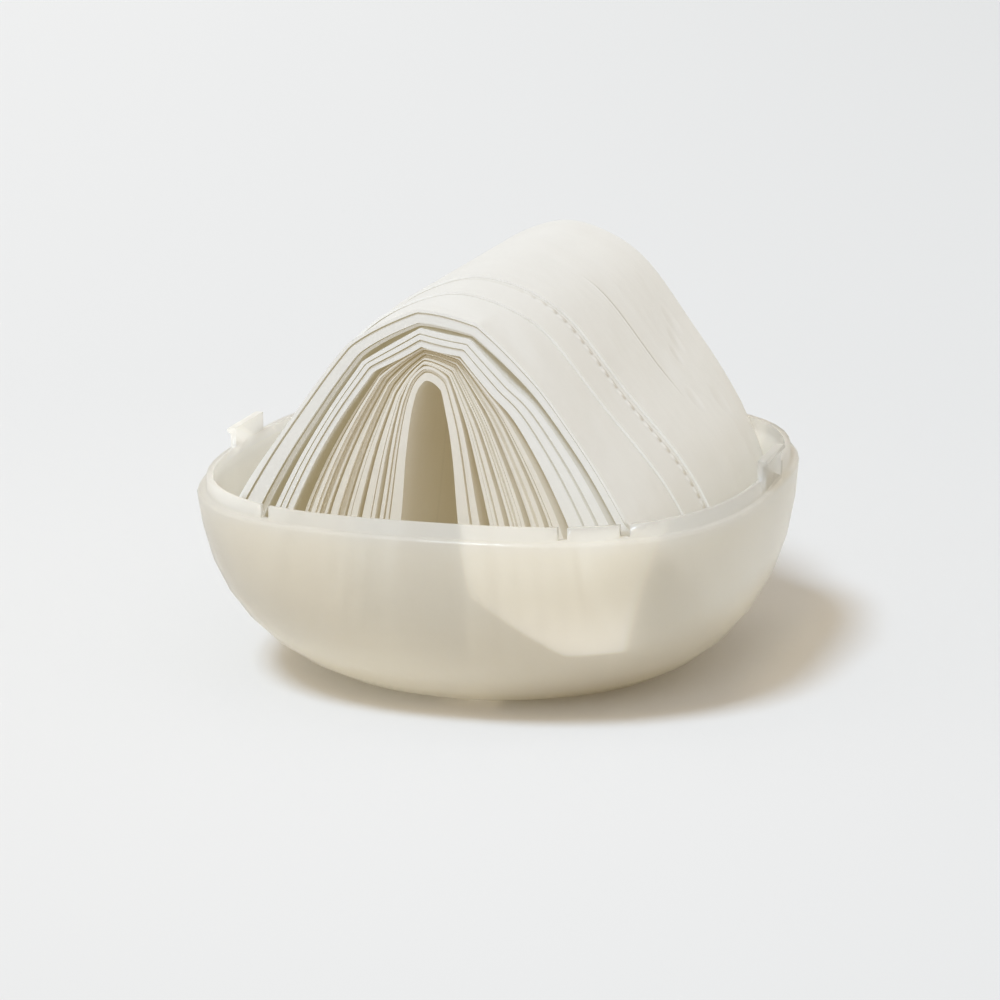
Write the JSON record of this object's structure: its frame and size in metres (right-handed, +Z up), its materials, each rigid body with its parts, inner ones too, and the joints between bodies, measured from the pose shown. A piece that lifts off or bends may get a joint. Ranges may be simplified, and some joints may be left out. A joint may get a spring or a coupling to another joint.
{
  "type": "tissue case",
  "caption": "Open translucent rounded-square tissue case holding folded white tissues bent over into an arch.",
  "frame": {"origin": "middle of the round foot's underside", "axes": "+Z up, +Y along the tunnel under the tissue arch towards the back, +X to the right seen from the front tongue"},
  "size_m": [0.125, 0.1358, 0.0915],
  "materials": {
    "case_plastic": "frosted, milky translucent",
    "tissue_paper": "soft uncoated tissue paper"
  },
  "bodies": {
    "root": {"case_base": "case_plastic", "top_flap": "tissue_paper", "top_tissue": "tissue_paper", "outer_bundle": "tissue_paper", "second_bundle": "tissue_paper", "fan_leaf_1": "tissue_paper", "fan_leaf_2": "tissue_paper", "fan_leaf_3": "tissue_paper", "fan_leaf_4": "tissue_paper", "inner_bundle": "tissue_paper"}
  },
  "joints": []
}
